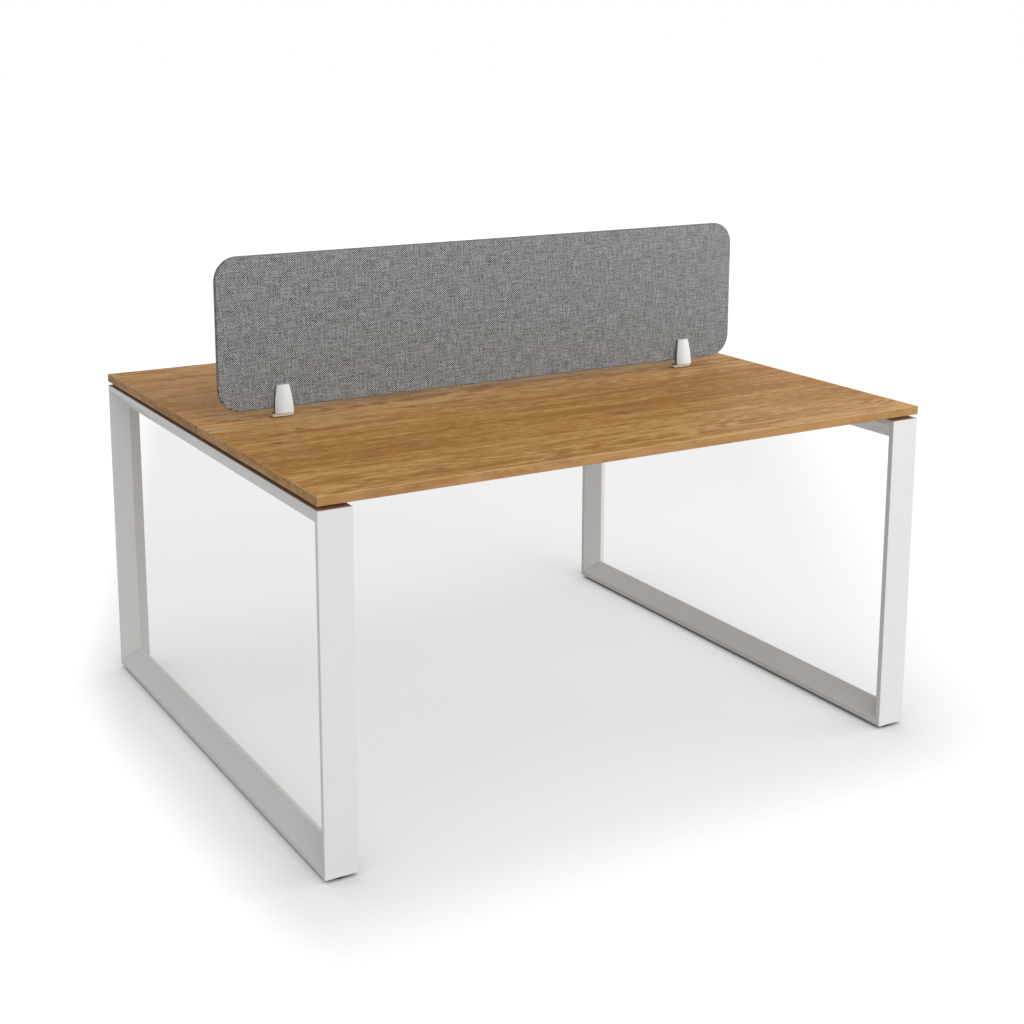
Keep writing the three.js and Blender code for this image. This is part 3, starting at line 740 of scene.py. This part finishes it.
class DeskFasteners(bpy.types.Operator):
    """Button-head bolts on the beam brackets and pan-head screws under the beams"""

    bl_idname = "bench_desk.fasteners"
    bl_label = "Make the fasteners"

    head_sides = 24

    # Shares of a head's height or radius: its dome, the rim round its socket and the socket's depth
    dome, rim, sunk = 0.6, 0.3, 0.5

    # Where the two bolts sit along each bracket
    bolt_shares = (0.25, 0.75)

    def head(self, name, place, radius, height, way):
        """A domed head with a sunk socket, standing on place and pointing up or down."""
        bpy.ops.object.select_all(action="DESELECT")
        middle = place + Vector((0, 0, way * height / 2))
        bpy.ops.mesh.primitive_cylinder_add(
            vertices=self.head_sides, radius=radius, depth=height, location=middle
        )
        piece = start_piece(name)
        outer = place.z + way * height
        bpy.ops.object.mode_set(mode="EDIT")
        select_edges(piece, lambda a, b: abs(a.z - outer) < LEVEL and abs(b.z - outer) < LEVEL)
        bpy.ops.mesh.bevel(offset=self.dome * height, segments=3, affect="EDGES")
        select_faces(piece, lambda middle, normal: normal.z * way > 0.99 and abs(middle.z - outer) < LEVEL)
        bpy.ops.mesh.inset(thickness=self.rim * radius)
        bpy.ops.mesh.extrude_region_move(TRANSFORM_OT_translate={"value": (0, 0, -way * self.sunk * height)})
        bpy.ops.mesh.select_all(action="SELECT")
        bpy.ops.mesh.normals_make_consistent(inside=False)
        bpy.ops.object.mode_set(mode="OBJECT")
        bpy.ops.object.shade_smooth_by_angle(angle=SMOOTH_ANGLE)
        return piece

    def heads(self, places, radius, height, way):
        """One head at each named place: the first is modelled, and the others are its copies."""
        pieces = []
        for name, place in places.items():
            if not pieces:
                pieces.append(self.head(name, place, radius, height, way))
                first = place
                continue
            bpy.ops.object.select_all(action="DESELECT")
            pieces[0].select_set(True)
            bpy.context.view_layer.objects.active = pieces[0]
            bpy.ops.object.duplicate()
            bpy.ops.transform.translate(value=place - first)
            pieces.append(start_piece(name))
        return pieces

    def execute(self, context):
        sizes = context.scene.desk_sizes
        bolt_places, screw_places = {}, {}
        for side in SIDES:
            for end in ENDS:
                low, high = (Vector(corner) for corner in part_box(f"{side}_beam_bracket_{end}"))
                rail_low, rail_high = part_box(f"{end}_frame_top_rail")
                x = (rail_low[0] + rail_high[0]) / 2
                for i, share in enumerate(self.bolt_shares):
                    y = low.y + share * (high.y - low.y)
                    bolt_places[f"bracket_bolt_{side}_{end}_{i + 1}"] = Vector((x, y, high.z))
                spacer_low, spacer_high = (Vector(corner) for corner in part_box(f"{side}_beam_spacer_{end}"))
                middle = (spacer_low + spacer_high) / 2
                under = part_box(f"{side}_beam")[0][2]
                screw_places[f"top_screw_{side}_{end}"] = Vector((middle.x, middle.y, under))
        bolts = self.heads(bolt_places, sizes.bolt_radius, sizes.bolt_height, 1)
        screws = self.heads(screw_places, sizes.screw_radius, sizes.screw_height, -1)
        steel = plated_steel("zinc_plated_screw", context.scene.desk_finishes.zinc)
        for piece in bolts + screws:
            paint(piece, steel)
            ride_on_desk(piece)
        return {"FINISHED"}


class DeskScreen(bpy.types.Operator):
    """Woven cover pulled over the screen's board, and the board itself"""

    bl_idname = "bench_desk.screen"
    bl_label = "Make the screen's cover"

    corner_steps, edge_steps = 14, 4

    # Faces turned less than this towards front or rear count as the panel's edge, where the cloth gets painted shade
    face_turn = 0.95
    edge_painted_shade = 0.72

    def execute(self, context):
        sizes = context.scene.desk_sizes
        finishes = context.scene.desk_finishes
        dress(["screen_core"], bare_fibreboard("screen_fibreboard", finishes.board))
        low, high = (Vector(corner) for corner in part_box("screen_cover"))
        bpy.ops.object.select_all(action="DESELECT")
        bpy.ops.mesh.primitive_cube_add(size=1, location=(low + high) / 2, scale=high - low)
        cover = start_piece("screen_fabric")
        bpy.ops.object.mode_set(mode="EDIT")
        select_edges(cover, lambda a, b: abs(a.y - b.y) > 0.9 * (high.y - low.y))
        bpy.ops.mesh.bevel(offset=sizes.screen_corner, segments=self.corner_steps, affect="EDGES")
        select_edges(cover, lambda a, b: abs(a.y - b.y) < 1e-6)
        bpy.ops.mesh.bevel(offset=sizes.screen_edge, segments=self.edge_steps, affect="EDGES")
        select_faces(cover, lambda middle, normal: normal.z < -0.99 and abs(middle.x) < 0.1)
        bpy.ops.mesh.inset(thickness=((high.y - low.y) - 2 * sizes.screen_edge - sizes.cover_slot) / 2)
        bpy.ops.mesh.delete(type="FACE")
        bpy.ops.mesh.select_all(action="SELECT")
        bpy.ops.mesh.normals_make_consistent(inside=False)
        bpy.ops.object.mode_set(mode="OBJECT")
        wall = cover.modifiers.new("cloth", "SOLIDIFY")
        wall.thickness = sizes.cloth
        wall.offset = -1
        bpy.ops.object.modifier_apply(modifier=wall.name)
        bpy.ops.object.shade_smooth_by_angle(angle=SMOOTH_ANGLE)
        for name, shade in (("grey_melange_weave", 1.0), ("grey_melange_weave_edge_painted_shade", self.edge_painted_shade)):
            cover.data.materials.append(melange_weave(name, finishes, sizes.yarn, shade))
        # Painted shade: the cloth on the panel's rounded edges takes the darker copy of the weave
        for face in cover.data.polygons:
            face.material_index = 0 if abs(face.normal.y) > self.face_turn else 1
        ride_on_desk(cover)
        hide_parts("screen_cover")
        return {"FINISHED"}


class DeskClamps(bpy.types.Operator):
    """Satin aluminium jaws and foot plates, plated bolts and under plates"""

    bl_idname = "bench_desk.clamps"
    bl_label = "Dress the screen clamps"

    # Heights of the parts of the foot plate that are darkened as painted shade, at its bottom and its top
    undercut = 1.4 * MM
    step_rise = 2.1 * MM

    def execute(self, context):
        finishes = context.scene.desk_finishes
        metal = satin_aluminium("satin_cast_aluminium", finishes.aluminium, finishes.jaw_side_shade)
        dress([f"{end}_clamp_{side}_jaw" for end in ENDS for side in SIDES], metal)
        low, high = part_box("left_clamp_foot_plate")
        brushed = brushed_aluminium(
            "brushed_aluminium", finishes.foot_plate, low[2] + self.undercut, high[2] - self.step_rise
        )
        dress([f"{end}_clamp_foot_plate" for end in ENDS], brushed)
        steel = plated_steel("zinc_plated_clamp", finishes.zinc)
        dress([f"{end}_clamp_{part}" for end in ENDS for part in ("under_plate", "bolt")], steel)
        return {"FINISHED"}


class DeskStage(bpy.types.Operator):
    """Pale floor, plain soft light and the camera"""

    bl_idname = "bench_desk.stage"
    bl_label = "Set the stage"

    # Camera that sees the desk at the photograph's angle
    camera_place = (-1.7776, -3.0683, 1.4957)
    camera_yaw = math.radians(30.067)
    camera_pitch = math.radians(11.26)
    focal_pixels = 1618.5
    frame_shift = (0.0176, -0.1475)

    # Edges of the floor's painted shadow: direction inward, and how far along it the painted shadow starts and is full
    painted_shadow_edges = (
        ((1.0, 0.0, 0.0), -0.93, -0.74),
        ((0.939, -0.345, 0.0), -1.0, -0.82),
        ((-0.844, 0.537, 0.0), -1.45, -0.8),
        ((0.0, 1.0, 0.0), -1.04, -0.62),
        ((-0.35, -0.94, 0.0), -4.2, -3.2),
    )

    # Floor's shade where it meets the desk: how far away a piece still shades it, in metres, then the share of open
    # sky above a spot and how much of the glow is left there
    shade_reach = 0.6
    contact_shade = ((0.1, 0.0), (0.4, 0.45), (0.6, 0.66), (0.8, 0.83), (0.95, 0.94), (1.0, 1.0))

    # Floor: width, share of its white that is its own glow, and the glow's strength in the open and in the painted
    # shadow
    floor_size = 120
    glow_share = 0.7
    glow_open, glow_grey = 1.2, 0.86

    # Room: level of its bounced light, and what reflections see at its left and right
    room_level = 0.47
    room_left, room_right = 0.18, 1.18

    def camera(self, scene):
        data = bpy.data.cameras.new("camera")
        data.sensor_width = SENSOR_WIDTH
        data.sensor_fit = "HORIZONTAL"
        data.lens = self.focal_pixels * SENSOR_WIDTH / IMAGE_WIDTH
        data.shift_x, data.shift_y = self.frame_shift
        data.clip_end = 200
        camera = bpy.data.objects.new("camera", data)
        camera.location = self.camera_place
        camera.rotation_euler = (math.pi / 2 - self.camera_pitch, 0, -self.camera_yaw)
        scene.collection.objects.link(camera)
        scene.camera = camera

    def shown(self, tree):
        """One where the eye, a reflection or a clear piece sees the surface, and nought for bounced light."""
        path = add_node(tree, "ShaderNodeLightPath")
        seen = path.outputs["Is Camera Ray"]
        for ray in ("Is Glossy Ray", "Is Transmission Ray"):
            seen = add_node(tree, "ShaderNodeMath", {0: seen, 1: path.outputs[ray]}, operation="MAXIMUM").outputs[0]
        return seen

    def floor(self, finishes):
        """A white floor that keeps the desk's shadow: most of its white is its own glow, which is dimmed by a painted
        shadow under and behind the desk and by painted shade where something stands on it."""
        bpy.ops.object.select_all(action="DESELECT")
        bpy.ops.mesh.primitive_plane_add(size=self.floor_size)
        floor = start_piece("studio_floor")
        material, tree = new_material("white_floor")
        seen = self.shown(tree)
        colour = add_node(
            tree,
            "ShaderNodeMix",
            {"Factor": seen, 6: opaque(finishes.floor_bounce), 7: opaque(finishes.floor)},
            data_type="RGBA",
        )
        surface = add_node(tree, "ShaderNodeBsdfDiffuse", {"Color": colour.outputs[2]})
        open_sky = add_node(tree, "ShaderNodeAmbientOcclusion", {"Distance": self.shade_reach}, samples=16)
        level = add_node(
            tree,
            "ShaderNodeValToRGB",
            {"Fac": open_sky.outputs["AO"]},
            stops=[(open_share, (left, left, left)) for open_share, left in self.contact_shade],
        )
        place = add_node(tree, "ShaderNodeTexCoord").outputs["Object"]
        # Painted shadow: the glow dims inside these edges, under and behind the desk
        grey = 1.0
        for direction, start, end in self.painted_shadow_edges:
            depth = add_node(tree, "ShaderNodeVectorMath", {0: place, 1: direction}, operation="DOT_PRODUCT")
            inside = add_node(
                tree,
                "ShaderNodeMapRange",
                {"Value": depth.outputs["Value"], "From Min": start, "From Max": end},
                interpolation_type="SMOOTHSTEP",
            )
            grey = add_node(tree, "ShaderNodeMath", {0: grey, 1: inside.outputs[0]}, operation="MULTIPLY").outputs[0]
        strength = add_node(
            tree, "ShaderNodeMapRange", {"Value": grey, "To Min": self.glow_open, "To Max": self.glow_grey}
        )
        glow = add_node(
            tree, "ShaderNodeEmission", {"Color": level.outputs["Color"], "Strength": strength.outputs[0]}
        )
        share = add_node(tree, "ShaderNodeMath", {0: seen, 1: self.glow_share}, operation="MULTIPLY")
        mixed = add_node(
            tree, "ShaderNodeMixShader", {"Fac": share.outputs[0], 1: surface.outputs[0], 2: glow.outputs[0]}
        )
        finish_material(tree, mixed)
        paint(floor, material)

    def world(self, scene):
        """White to the eye, a plain level for bounced light, and for reflections a room that is brighter on the
        right."""
        world = bpy.data.worlds.new("studio")
        world.use_nodes = True
        tree = world.node_tree
        tree.nodes.clear()
        way = add_node(
            tree, "ShaderNodeSeparateXYZ", {"Vector": add_node(tree, "ShaderNodeTexCoord").outputs["Generated"]}
        )
        room = add_node(
            tree,
            "ShaderNodeMapRange",
            {"Value": way.outputs["X"], "From Min": -1.0, "To Min": self.room_left, "To Max": self.room_right},
        )
        path = add_node(tree, "ShaderNodeLightPath")
        strength = self.room_level
        for ray, level in (("Is Glossy Ray", room.outputs[0]), ("Is Transmission Ray", 1.0), ("Is Camera Ray", 1.0)):
            strength = add_node(
                tree, "ShaderNodeMix", {"Factor": path.outputs[ray], 2: strength, 3: level}, data_type="FLOAT"
            ).outputs[0]
        back = add_node(tree, "ShaderNodeBackground", {"Color": (1, 1, 1, 1), "Strength": strength})
        add_node(tree, "ShaderNodeOutputWorld", {"Surface": back.outputs[0]})
        scene.world = world

    def lamp(self, scene, data, place, turn):
        lamp = bpy.data.objects.new(data.name, data)
        lamp.location = place
        lamp.rotation_euler = turn
        scene.collection.objects.link(lamp)
        return lamp

    def sun(self, scene, name, strength, elevation, azimuth, softness):
        """A soft lamp at that height above the horizon, azimuth counted from the front towards the right."""
        data = bpy.data.lights.new(name, "SUN")
        data.energy = strength
        data.angle = math.radians(softness)
        return self.lamp(scene, data, (0, 0, 0), (math.radians(90 - elevation), 0, math.radians(azimuth)))

    def panel(self, scene, name, watts, size, place, target):
        """A square soft box that points at the target."""
        data = bpy.data.lights.new(name, "AREA")
        data.energy = watts
        data.size = size
        turn = (Vector(target) - Vector(place)).to_track_quat("-Z", "Y").to_euler()
        return self.lamp(scene, data, place, turn)

    def execute(self, context):
        scene = context.scene
        scene.view_settings.view_transform = "Standard"
        self.camera(scene)
        self.floor(scene.desk_finishes)
        self.world(scene)
        front = self.sun(scene, "front", strength=1.2, elevation=20, azimuth=5, softness=50)
        self.sun(scene, "overhead", strength=0.8, elevation=85, azimuth=0, softness=50)
        near = self.panel(scene, "near", watts=10, size=1.5, place=(0.7, -3.2, 2.3), target=(0, -0.3, 0.5))
        self.panel(scene, "right", watts=14, size=1.2, place=(2.2, -1.2, 1.9), target=(0.3, 0, 0.8))
        for lamp in (front, near):
            lamp.visible_glossy = False
        return {"FINISHED"}


class DeskPanel(bpy.types.Panel):
    """Lists the desk's settings and steps"""

    bl_idname = "VIEW3D_PT_bench_desk"
    bl_label = "Benching desk"
    bl_space_type = "VIEW_3D"
    bl_region_type = "UI"
    bl_category = "Desk"

    def draw(self, context):
        layout = self.layout
        for settings in (context.scene.desk_finishes, context.scene.desk_sizes):
            column = layout.column()
            for name in settings.__annotations__:
                column.prop(settings, name)
        for step in STEPS:
            layout.operator(step.bl_idname)


STEPS = (DeskStage, DeskTops, DeskFrames, DeskFeet, DeskBeams, DeskFasteners, DeskScreen, DeskClamps)
CLASSES = (DeskFinishes, DeskSizes, *STEPS, DeskPanel)


def register():
    for cls in CLASSES:
        bpy.utils.register_class(cls)
    bpy.types.Scene.desk_finishes = bpy.props.PointerProperty(type=DeskFinishes)
    bpy.types.Scene.desk_sizes = bpy.props.PointerProperty(type=DeskSizes)


def unregister():
    del bpy.types.Scene.desk_sizes
    del bpy.types.Scene.desk_finishes
    for cls in reversed(CLASSES):
        bpy.utils.unregister_class(cls)


def main():
    register()
    bpy.ops.bench_desk.stage()
    bpy.ops.bench_desk.tops()
    bpy.ops.bench_desk.frames()
    bpy.ops.bench_desk.feet()
    bpy.ops.bench_desk.beams()
    bpy.ops.bench_desk.fasteners()
    bpy.ops.bench_desk.screen()
    bpy.ops.bench_desk.clamps()


if __name__ == "__main__":
    main()
